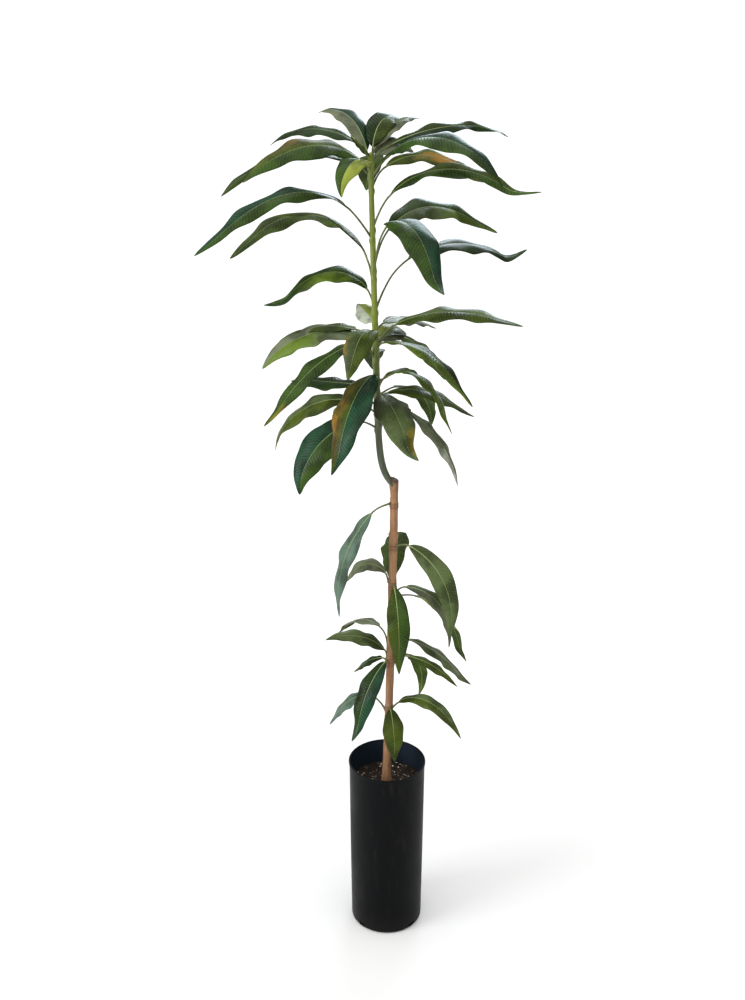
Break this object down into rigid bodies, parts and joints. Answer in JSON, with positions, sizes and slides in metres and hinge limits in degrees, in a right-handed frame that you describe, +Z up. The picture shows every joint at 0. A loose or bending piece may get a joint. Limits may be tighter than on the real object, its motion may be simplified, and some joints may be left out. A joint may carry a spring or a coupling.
{
  "type": "mango tree sapling in a nursery pot",
  "caption": "Young grafted mango tree: a thin brown trunk, one green leading shoot, and tiers of long drooping leaves, in a tall black nursery pot filled with potting mix.",
  "frame": {"origin": "centre of the flat underside of the pot", "axes": "+Z up along the trunk, +X to the right as seen from the front, +Y away from the viewer, towards the back"},
  "size_m": [0.5326, 0.351, 1.5109],
  "materials": {
    "pot": "black moulded plastic with a soft sheen",
    "potting_mix": "dark bark-based potting mix with white grains",
    "bark": "smooth pinkish brown bark with darker leaf scars",
    "green_shoot": "smooth green shoot",
    "foliage": "glossy dark green leaves with pale midribs"
  },
  "bodies": {
    "root": {"pot": "pot", "potting_mix": "potting_mix", "trunk": "bark", "leading_shoot": "green_shoot", "foliage_top_rosette": "foliage", "foliage_upper_shoot": "foliage", "foliage_middle_tier": "foliage", "foliage_lower_tier": "foliage", "foliage_ring_5": "foliage", "foliage_ring_4": "foliage", "foliage_ring_3": "foliage", "foliage_ring_2": "foliage", "foliage_ring_1": "foliage"}
  },
  "joints": []
}
